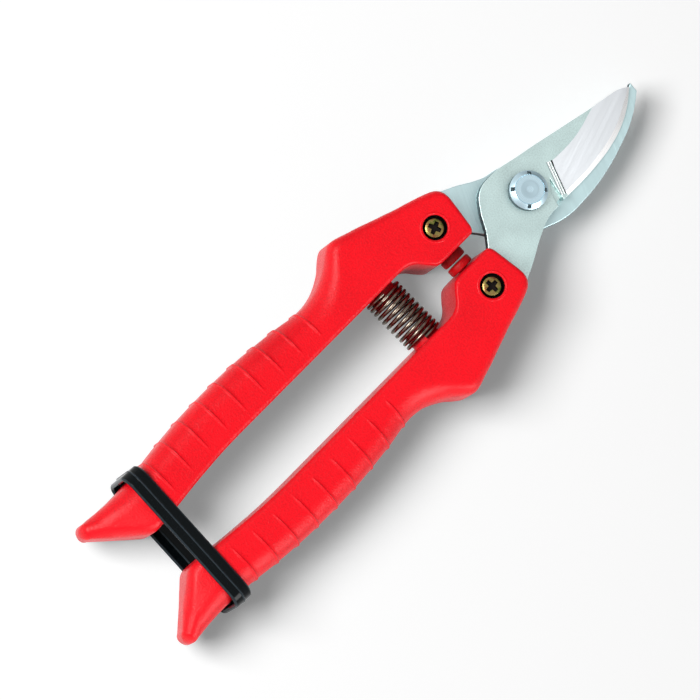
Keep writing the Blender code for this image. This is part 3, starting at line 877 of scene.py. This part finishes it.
# Down the handle: half thickness, radius of the inner edges, share of the outer rounding.
HANDLE_SECTIONS = [
    (16.9, 9.0, 1.1, 0.36),
    (30.0, 9.0, 1.1, 0.38),
    (44.0, 9.0, 1.2, 0.5),
    (50.0, 9.0, 1.2, 0.85),
    (58.0, 9.0, 1.3, 1.1),
    (80.0, 9.0, 1.3, 1.0),
    (112.0, 9.0, 1.4, 1.0),
    (124.0, 8.95, 1.9, 0.95),
    (130.0, 8.0, 3.4, 0.85),
    (137.5, 5.6, 4.2, 0.75),
]
RIDGES = [63.9 + 6.6 * k for k in range(9)]  # down from the pivot
ARC_STEPS, FACE_STEPS, SIDE_STEPS = 9, 7, 4


def rounded_section(long, half, inner, outer):
    """Points round a section: distance from its inner side, height, and the normal there."""
    inner = min(inner, 0.49 * long, 0.98 * half)
    outer = min(outer, long - inner - 0.02, 0.98 * half)
    corners = [
        (long - outer, half - outer, outer, 0),
        (inner, half - inner, inner, 90),
        (inner, inner - half, inner, 180),
        (long - outer, outer - half, outer, 270),
    ]
    steps = (FACE_STEPS, SIDE_STEPS, FACE_STEPS, SIDE_STEPS)
    points = []
    for k, (across, height, radius, start) in enumerate(corners):
        for step in range(ARC_STEPS + 1):
            angle = math.radians(start + 90 * step / ARC_STEPS)
            out, up = math.cos(angle), math.sin(angle)
            points.append((across + radius * out, height + radius * up, out, up))
        next_across, next_height, next_radius, next_start = corners[(k + 1) % 4]
        angle = math.radians(next_start)
        out, up = math.cos(angle), math.sin(angle)
        there = (next_across + next_radius * out, next_height + next_radius * up)
        here = points[-1]
        for step in range(1, steps[k]):
            t = step / steps[k]
            points.append(
                (here[0] + (there[0] - here[0]) * t, here[1] + (there[1] - here[1]) * t, out, up)
            )
    return points


def rounded_off(depth, radius):
    """How far a quarter-round edge stands back at a depth below the face it meets."""
    if depth >= radius:
        return 0.0
    return radius - math.sqrt(radius**2 - (radius - depth) ** 2)


def rib_row(inner, outer, half, inner_radius, outer_radius, ridge):
    """One ring of a handle's skin, for the right-hand side, in millimetres."""
    across = outer - inner
    long = across.length
    across.normalize()
    row = []
    for out, height, normal_out, normal_up in rounded_section(long, half, inner_radius, outer_radius):
        proud = ridge * ramp(out / long, 0.2, 0.48)
        place = inner + across * (out + normal_out * proud)
        row.append((place.x, place.y, height + normal_up * proud))
    return row


def handle_rows(sizes):
    ribs = [(-(rib[1] + rib[3]) / 2, *rib) for rib in HANDLE_RIBS]
    top, tail = ribs[0][0], ribs[-1][0]
    face_edge, rounding = sizes.face_edge / MM, sizes.grip_round / MM
    width, height = sizes.ridge_width / MM, sizes.ridge_height / MM
    corner_in, corner_out, top_edge = 1.4, 2.4, 1.1

    stations = [top + d for d in (0, 0.04, 0.14, 0.3, 0.5, 0.75, 1.0, 1.3, 1.7, 2.2, 2.7, 3.1)]
    drop = stations[-1] + 0.6
    while drop < tail:
        near = min(abs(drop - ridge) for ridge in RIDGES)
        stations.append(drop)
        drop += 0.12 if near < 1.1 * width + 0.2 else 0.6
    stations.append(tail)

    rows = []
    for drop in stations:
        inner_x, inner_y, outer_x, outer_y = smooth(ribs, drop)
        half, inner_radius, share = smooth(HANDLE_SECTIONS, drop)
        depth = drop - top
        half -= rounded_off(depth, top_edge)
        inner, outer = Vector((inner_x, inner_y)), Vector((outer_x, outer_y))
        across = (outer - inner).normalized()
        inner = inner + across * rounded_off(depth, corner_in)
        outer = outer - across * rounded_off(depth, corner_out)
        ridge = sum(height * math.exp(-(((drop - at) / (0.5 * width)) ** 2)) for at in RIDGES)
        rows.append(
            rib_row(inner, outer, half, inner_radius * face_edge / 1.1, share * rounding, ridge)
        )

    aim = Vector((math.cos(NOSE_AIM), math.sin(NOSE_AIM)))
    outwards = Vector((-aim.y, aim.x))
    nose = Vector(NOSE)
    half = HANDLE_SECTIONS[-1][1]
    for step in range(11):
        turn = math.radians(8.2 * step)
        reach, swing = NOSE_RADIUS * math.sin(turn), NOSE_RADIUS * math.cos(turn)
        middle, edge = nose + aim * reach, 0.96 * swing
        here = half - (half - 1.0) * (1 - math.cos(turn)) ** 0.8
        rows.append(rib_row(middle - outwards * swing, middle + outwards * swing, here, edge, edge, 0))
    return rows


def handle_blank(name, side, sizes):
    """The moulded outside of one handle."""
    rows = [[PIVOT + Vector((side * x, y, z)) * MM for x, y, z in row] for row in handle_rows(sizes)]
    return wrapped(name, rows)


def make_handles(context):
    sizes, colours = context.scene.shears_sizes, context.scene.shears_colours
    nylon = moulded_nylon("moulded nylon", tuple(colours.nylon), 0.34, 0.45)
    # painted shade: the screw's well and its hole through the handle are painted nearly black
    painted_shade = painted_shade_finish("painted shade in the screw wells")
    half = HANDLE_HIGH.z
    rim_radius, rim_bead = 3.62 * MM, 0.42 * MM
    pocket_corner, pocket_depth = 3.52 * MM, 2.7 * MM
    spring_y = (SPRING_LOW.y + SPRING_HIGH.y) / 2
    grip_x = 8.25 * MM
    boss_radius = (SPRING_HIGH.y - SPRING_LOW.y) / 2 - sizes.wire - FIT
    for word, side, blade_low, blade_high in (
        ("right", RIGHT, BLADE_LOW.z, BLADE_HIGH.z), ("left", LEFT, HOOK_LOW.z, HOOK_HIGH.z)
    ):
        handle = handle_blank(f"moulded_{word}_handle", side, sizes)
        boss_tip, boss_root = side * (grip_x - 3.6 * MM), side * (grip_x + 0.5 * MM)
        boss = cross_bar("boss", boss_radius, boss_tip, boss_root, spring_y, 56)
        softened(boss, 0.5 * MM, 3)
        cut(handle, boss, "UNION")
        place = (side * SCREW_X, -SCREW_DROP)
        bpy.ops.mesh.primitive_torus_add(
            major_radius=rim_radius,
            minor_radius=rim_bead,
            major_segments=64,
            minor_segments=12,
            location=PIVOT + Vector((place[0] * MM, place[1] * MM, half - 0.3 * MM)),
        )
        cut(handle, settled(named("rim")), "UNION")
        painted(handle, nylon)
        seat = SCREW_HIGH.z - 2.3 * MM
        drill(handle, WELL_RADIUS, seat, 2 * half, painted_shade, place)
        mouth = rod("mouth", WELL_RADIUS, half - 0.1 * MM, half + 0.3 * MM, place, 48, 3.5 * MM)
        cut(handle, painted(mouth, nylon))
        drill(handle, TANG_SCREW_RADIUS + FIT, -2 * half, 2 * half, painted_shade, place)
        pocket = rod("pocket", pocket_corner, -2 * half, -half + pocket_depth, place, 6)
        cut(handle, painted(pocket, nylon))
        outline = sided(tang(FIT_MM, 3.0), side)
        slot = plate("slot", outline, blade_low - FIT, blade_high + FIT, 0.05 * MM)
        cut(handle, painted(slot, nylon))
        hole = cross_bar("stem hole", STEM_RADIUS + FIT, -STEM_REACH, STEM_REACH, BUFFER_Y, 32)
        cut(handle, painted(hole, nylon))
        shaded(handle, 38)
        carried(handle, f"{word}_handle", f"{word}_half", "red_nylon")


# ---------------------------------------------------------------- buffers, screws and nuts


def make_buffers(context):
    colours = context.scene.shears_colours
    soft = moulded_nylon("soft moulded plastic", tuple(colours.buffer), 0.36, 0.4)
    radius = (BUFFER_HIGH.y - BUFFER_LOW.y) / 2
    face, foot, end = BUFFER_LOW.x, 2.3 * MM, BUFFER_HIGH.x
    sunk = 0.4 * MM  # how far the stem runs into the pad
    for word, side in (("right", RIGHT), ("left", LEFT)):
        pad = cross_bar(f"{word}_round_buffer", radius, side * face, side * foot, BUFFER_Y, 64)
        softened(pad, 0.45 * MM, 4)
        stem = cross_bar("stem", STEM_RADIUS, side * (foot - sunk), side * end, BUFFER_Y, 32)
        cut(pad, stem, "UNION")
        shaded(painted(pad, soft), 40)
        carried(pad, f"{word}_buffer", f"{word}_half", "red_buffer")


def driver_star(place, turn, crown):
    """The driver's cross as a cutter: four arms that meet in blunt corners."""
    reach, waist, swing, depth = 1.75, 0.86, 17, 1.4
    outline = []
    for arm in range(4):
        for out, off in ((reach, -swing), (reach, swing), (waist, 45)):
            angle = math.radians(turn + 90 * arm + off)
            outline.append((place[0] + out * math.cos(angle), place[1] + out * math.sin(angle), CORNER))
    return plate("driver", outline, crown - depth * MM, crown + MM, 0.02 * MM)


# The pan head's rounded top, from its rim: (inwards, upwards) in millimetres.
PAN_CROWN = [(0.04, 0.45), (0.08, 0.35), (0.16, 0.2), (0.34, 0.14), (0.5, 0.08), (0.5, 0.03)]


def make_screws(context):
    colours = context.scene.shears_colours
    chromate = yellow_chromate("yellow chromated screw", tuple(colours.chromate))
    # painted shade: the cross in the head is painted nearly black
    painted_shade = painted_shade_finish("painted shade in the screw's cross")
    crown, seat = SCREW_HIGH.z, SCREW_HIGH.z - 2.0 * MM
    for word, side, turn in (("right", RIGHT, 3), ("left", LEFT, 22)):
        place = (side * SCREW_X, -SCREW_DROP)
        head = rod(f"{word}_pan_head_screw", SCREW_HEAD_RADIUS, seat, seat + 0.75 * MM, place, 64)
        inset_top(head, PAN_CROWN)
        settled(head)
        cut(painted(head, chromate), painted(driver_star(place, turn, crown), painted_shade))
        low, thin = SCREW_LOW.z, TANG_SCREW_RADIUS - 0.3 * MM
        shank = rod("shank", TANG_SCREW_RADIUS, low + 0.3 * MM, seat + 0.1 * MM, place, 32)
        point = rod("point", thin, low, low + 0.31 * MM, place, 32, TANG_SCREW_RADIUS)
        cut(head, painted(shank, chromate), "UNION")
        cut(head, painted(point, chromate), "UNION")
        shaded(head, 28)
        carried(head, f"{word}_handle_screw", f"{word}_half", "bronze_zinc")
        low, high = from_frame(f"{word}_handle_nut")
        bore = TANG_SCREW_RADIUS + FIT
        nut = hexagon_nut(f"{word}_tang_nut", 5.5, low.z, high.z, bore, chromate, place)
        carried(nut, f"{word}_handle_nut", f"{word}_half", "bronze_zinc")


# ---------------------------------------------------------------- spring and strap


def tube(name, points, radius, resolution):
    """A round wire along points."""
    curve = bpy.data.curves.new(name, "CURVE")
    curve.dimensions = "3D"
    curve.bevel_depth = radius
    curve.bevel_resolution = resolution
    curve.use_fill_caps = True
    spline = curve.splines.new("POLY")
    spline.points.add(len(points) - 1)
    for point, co in zip(spline.points, points):
        point.co = (*co, 1)
    obj = bpy.data.objects.new(name, curve)
    bpy.context.scene.collection.objects.link(obj)
    choose(obj)
    bpy.ops.object.convert(target="MESH")
    return cleaned(bpy.context.active_object)


def make_spring(context):
    sizes, colours = context.scene.shears_sizes, context.scene.shears_colours
    wire_radius = sizes.wire / 2
    middle = PIVOT + Vector((0, (SPRING_LOW.y + SPRING_HIGH.y) / 2, 0))
    coil = (SPRING_HIGH.y - SPRING_LOW.y) / 2 - wire_radius
    reach = SPRING_HIGH.x - wire_radius
    turns, per_turn, closed = 11, 44, 0.85
    count = turns * per_turn
    points = []
    for step in range(count + 1):
        turn = turns * step / count
        slack = ramp(turn, 0, 2 * closed) * ramp(turns - turn, 0, 2 * closed)
        share = step / count
        # the end turns lie closer than the middle ones
        lag = 0.16 * math.sin(2 * math.pi * share) / (2 * math.pi) * (2 - slack)
        x = -reach + 2 * reach * (share - lag)
        angle = 2 * math.pi * turn + math.radians(100)
        points.append(middle + Vector((x, coil * math.cos(angle), coil * math.sin(angle))))
    spring = tube("coiled_return_spring", points, wire_radius, 3)
    painted(spring, drawn_wire("nickel plated spring wire", tuple(colours.spring)))
    shaded(spring, 50)
    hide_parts("return_spring")
    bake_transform(spring)


def strap_section(wall, width):
    """The strap's section: chamfered edges, and a raised line along the middle of both faces."""
    half, chamfer, bead, line, inner_line = width / 2, 0.45, 0.24, 0.28, 0.12
    outer = [
        (0, -half + chamfer), (0, -bead), (line, 0), (0, bead), (0, half - chamfer),
        (-chamfer, half),
    ]
    inner = [
        (-wall + chamfer, half), (-wall, half - chamfer), (-wall, bead), (-wall - inner_line, 0),
        (-wall, -bead), (-wall, -half + chamfer), (-wall + chamfer, -half), (-chamfer, -half),
    ]
    return outer + inner


def make_strap(context):
    sizes, colours = context.scene.shears_sizes, context.scene.shears_colours
    gloss = gloss_polypropylene("gloss polypropylene", tuple(colours.strap))
    middle = PIVOT + (STRAP_LOW + STRAP_HIGH) / 2
    leaning = 0.31  # what the lean and the raised line take of the height
    half_x, half_z = (STRAP_HIGH - STRAP_LOW).x / 2 / MM, (STRAP_HIGH - STRAP_LOW).z / 2 / MM - leaning
    corner, wall, width, steps = 4.0, 1.2, 5.2, 14
    section = strap_section(wall, width)
    rows = []
    for quarter in range(4):
        sign_x = 1 if quarter in (0, 3) else -1
        sign_z = 1 if quarter in (0, 1) else -1
        for step in range(steps + 1):
            angle = math.radians(90 * (quarter + step / steps))
            out = Vector((math.cos(angle), 0, math.sin(angle)))
            centre = Vector((sign_x * (half_x - corner), 0, sign_z * (half_z - corner)))
            rows.append([centre + out * (corner + o) + Vector((0, y, 0)) for o, y in section])
    strap = ring_of("moulded_latch_strap", [[p * MM for p in row] for row in rows])
    # painted highlight: the raised lines and the chamfers are painted grey, lighter than the gloss black
    painted_highlight = gloss_polypropylene("painted highlight on the strap's lines", linear("#252D32"))
    painted(strap, gloss, painted_highlight)
    for face in strap.data.polygons:
        off = abs(face.center.y) / MM  # the raised lines and the chamfers: painted highlight
        face.material_index = int(off < 0.2 or 2.2 < off < 2.55)
    strap.location = middle
    strap.rotation_euler = (sizes.strap_lean, 0, sizes.strap_skew)
    settled(strap)
    softened(strap, 0.1 * MM, 3, 25)
    shaded(strap, 28)
    carried(strap, "latch_strap", "strap", "black_strap")


def ring_of(name, rows):
    """A closed band: rows of a section that go once round and meet."""
    down, across = len(rows), len(rows[0])
    bpy.ops.mesh.primitive_grid_add(x_subdivisions=down, y_subdivisions=across, size=2)
    obj = named(name)
    for vertex in obj.data.vertices:
        row = round((vertex.co.x + 1) / 2 * down) % down
        column = round((vertex.co.y + 1) / 2 * across) % across
        vertex.co = rows[row][column]
    return cleaned(obj, 0.000001)


# ---------------------------------------------------------------- stage

TILT = math.radians(13.02)  # camera, from straight above towards the tails
SIDE_TILT = math.radians(2.55)  # and towards the left handle
ROLL = math.radians(45.36)
CAMERA_DISTANCE = 1.5
KEY_FROM, KEY_DISTANCE, KEY_SIZE, KEY_WATTS = (-0.577, -0.557, 1.0), 2.0, 1.1, 42
STRIP_FROM, STRIP_DISTANCE, STRIP_SIZE, STRIP_WATTS = (1.0, -0.15, 0.5), 1.6, 0.8, 18
OWN_LIGHT = 0.17  # of the white card
FILL_LIGHT = 0.1  # of the tent, on what isn't gloss
VIEW_WIDTH = 172.95 * MM
AIM = (-2.68 * MM, -57.81 * MM)  # middle of the view, across and up from the pivot


def make_camera():
    back = Vector((-math.sin(SIDE_TILT), -math.sin(TILT), 0))
    back.z = math.sqrt(1 - back.length_squared)
    right = (Vector((1, 0, 0)) - back * back.x).normalized()
    up = back.cross(right)
    aim = PIVOT + right * AIM[0] + up * AIM[1]
    turn = Matrix((right, up, back)).transposed() @ Matrix.Rotation(ROLL, 3, "Z")
    place = Matrix.Translation(aim + back * CAMERA_DISTANCE) @ turn.to_4x4()
    bpy.ops.object.camera_add()
    camera = bpy.context.active_object
    camera.matrix_world = place
    camera.data.lens = camera.data.sensor_width * CAMERA_DISTANCE / VIEW_WIDTH
    camera.data.clip_end = 10
    bpy.context.scene.camera = camera


def seen_directly(tree):
    """1 for what the eye, a gloss or a glass sees, and 0 for what only lights other things."""
    ray = add(tree, "ShaderNodeLightPath").node.outputs
    eye_or_gloss = add(
        tree, "ShaderNodeMath", {0: ray["Is Camera Ray"], 1: ray["Is Glossy Ray"]}, operation="MAXIMUM"
    )
    seen = {0: eye_or_gloss, 1: ray["Is Transmission Ray"]}
    return add(tree, "ShaderNodeMath", seen, operation="MAXIMUM")


def white_card(name):
    """Matt white board with a trace of its own light, so that it stays white beside the shadow."""
    made = bpy.data.materials.new(name)
    made.use_nodes = True
    tree = made.node_tree
    board = tree.nodes["Principled BSDF"]
    board.inputs["Base Color"].default_value = (*linear("#FAFAFA"), 1)
    board.inputs["Roughness"].default_value = 0.9
    board.inputs["Specular IOR Level"].default_value = 0.0
    board.inputs["Emission Color"].default_value = (1, 1, 1, 1)
    glow = add(tree, "ShaderNodeMath", {0: seen_directly(tree), 1: OWN_LIGHT}, operation="MULTIPLY")
    tree.links.new(glow, board.inputs["Emission Strength"])
    return made


def make_world():
    """A light tent, which gloss and metal show: white at its foot, greyer overhead and past the tips."""
    world = bpy.data.worlds.new("studio")
    bpy.context.scene.world = world
    world.use_nodes = True
    tree = world.node_tree
    way = add(tree, "ShaderNodeTexCoord").node.outputs["Generated"]
    side = add(tree, "ShaderNodeSeparateXYZ", {"Vector": way}).node.outputs
    overhead = add(
        tree,
        "ShaderNodeMapRange",
        {"Value": side["Z"], "From Min": 0.1, "From Max": 0.8, "To Min": 1.0, "To Max": 0.78},
    )
    behind = add(
        tree,
        "ShaderNodeMapRange",
        {"Value": side["Y"], "From Min": 0.35, "From Max": 0.9, "To Min": 1.0, "To Max": 0.22},
    )
    tent = add(tree, "ShaderNodeMath", {0: overhead, 1: behind}, operation="MINIMUM")
    strength = add(
        tree,
        "ShaderNodeMix",
        {"Factor": seen_directly(tree), "A": FILL_LIGHT, "B": tent},
        data_type="FLOAT",
    )
    light = tree.nodes["Background"]
    light.inputs["Color"].default_value = (1, 1, 1, 1)
    tree.links.new(strength, light.inputs["Strength"])


def make_lamp(name, direction, distance, size, power):
    place = Vector(direction).normalized() * distance
    bpy.ops.object.light_add(type="AREA", location=place)
    lamp = bpy.context.active_object
    lamp.name = lamp.data.name = name
    lamp.data.size = size
    lamp.data.energy = power
    lamp.rotation_euler = place.to_track_quat("Z", "Y").to_euler()
    return lamp


def make_stage(context):
    make_camera()
    make_world()
    bpy.ops.mesh.primitive_plane_add(size=6)
    floor = named("floor")
    painted(floor, white_card("matt white card"))
    make_lamp("key softbox", KEY_FROM, KEY_DISTANCE, KEY_SIZE, KEY_WATTS)
    strip = make_lamp("side strip", STRIP_FROM, STRIP_DISTANCE, STRIP_SIZE, STRIP_WATTS)
    unlit = bpy.data.collections.new("not lit by the side strip")
    unlit.objects.link(floor)
    unlit.collection_objects[0].light_linking.link_state = "EXCLUDE"
    strip.light_linking.receiver_collection = unlit
    context.scene.view_settings.view_transform = "Standard"


# ---------------------------------------------------------------- add-on


class SHEARS_OT_stage(bpy.types.Operator):
    """Sets up the camera, the softboxes and the white floor"""

    bl_idname = "shears.stage"
    bl_label = "Stage"

    def execute(self, context):
        make_stage(context)
        return {"FINISHED"}


class SHEARS_OT_cutting_blade(bpy.types.Operator):
    """Models the cutting blade with its ground bevel and honed edge"""

    bl_idname = "shears.cutting_blade"
    bl_label = "Cutting Blade"

    def execute(self, context):
        make_cutting_blade(context)
        return {"FINISHED"}


class SHEARS_OT_counter_blade(bpy.types.Operator):
    """Models the hooked counter blade"""

    bl_idname = "shears.counter_blade"
    bl_label = "Counter Blade"

    def execute(self, context):
        make_counter_blade(context)
        return {"FINISHED"}


class SHEARS_OT_pivot(bpy.types.Operator):
    """Models the notched pivot bolt, its washer and its nut"""

    bl_idname = "shears.pivot"
    bl_label = "Pivot"

    def execute(self, context):
        make_pivot(context)
        return {"FINISHED"}


class SHEARS_OT_handles(bpy.types.Operator):
    """Models both moulded handles with their ridges, bosses and recesses"""

    bl_idname = "shears.handles"
    bl_label = "Handles"

    def execute(self, context):
        make_handles(context)
        return {"FINISHED"}


class SHEARS_OT_buffers(bpy.types.Operator):
    """Models the two round buffers"""

    bl_idname = "shears.buffers"
    bl_label = "Buffers"

    def execute(self, context):
        make_buffers(context)
        return {"FINISHED"}


class SHEARS_OT_screws(bpy.types.Operator):
    """Models the tang screws and their nuts"""

    bl_idname = "shears.screws"
    bl_label = "Screws"

    def execute(self, context):
        make_screws(context)
        return {"FINISHED"}


class SHEARS_OT_spring(bpy.types.Operator):
    """Coils the return spring between the grips"""

    bl_idname = "shears.spring"
    bl_label = "Return Spring"

    def execute(self, context):
        make_spring(context)
        return {"FINISHED"}


class SHEARS_OT_strap(bpy.types.Operator):
    """Models the latch strap round the handle ends"""

    bl_idname = "shears.strap"
    bl_label = "Latch Strap"

    def execute(self, context):
        make_strap(context)
        return {"FINISHED"}


OPERATORS = (
    SHEARS_OT_stage,
    SHEARS_OT_cutting_blade,
    SHEARS_OT_counter_blade,
    SHEARS_OT_pivot,
    SHEARS_OT_handles,
    SHEARS_OT_buffers,
    SHEARS_OT_screws,
    SHEARS_OT_spring,
    SHEARS_OT_strap,
)


class SHEARS_PT_panel(bpy.types.Panel):
    """Lists the pieces, sizes and colours of the shears"""

    bl_label = "Pruning Shears"
    bl_idname = "SHEARS_PT_panel"
    bl_space_type = "VIEW_3D"
    bl_region_type = "UI"
    bl_category = "Shears"

    def draw(self, context):
        for kind in OPERATORS:
            self.layout.operator(kind.bl_idname)
        for group in (context.scene.shears_sizes, context.scene.shears_colours):
            for key in group.__annotations__:
                self.layout.prop(group, key)


CLASSES = (ShearsSizes, ShearsColours, *OPERATORS, SHEARS_PT_panel)


def register():
    for kind in CLASSES:
        bpy.utils.register_class(kind)
    bpy.types.Scene.shears_sizes = bpy.props.PointerProperty(type=ShearsSizes)
    bpy.types.Scene.shears_colours = bpy.props.PointerProperty(type=ShearsColours)


def unregister():
    del bpy.types.Scene.shears_colours
    del bpy.types.Scene.shears_sizes
    for kind in reversed(CLASSES):
        bpy.utils.unregister_class(kind)


def main():
    register()
    deselect()
    for kind in OPERATORS:
        group, name = kind.bl_idname.split(".")
        getattr(getattr(bpy.ops, group), name)()


if __name__ == "__main__":
    main()
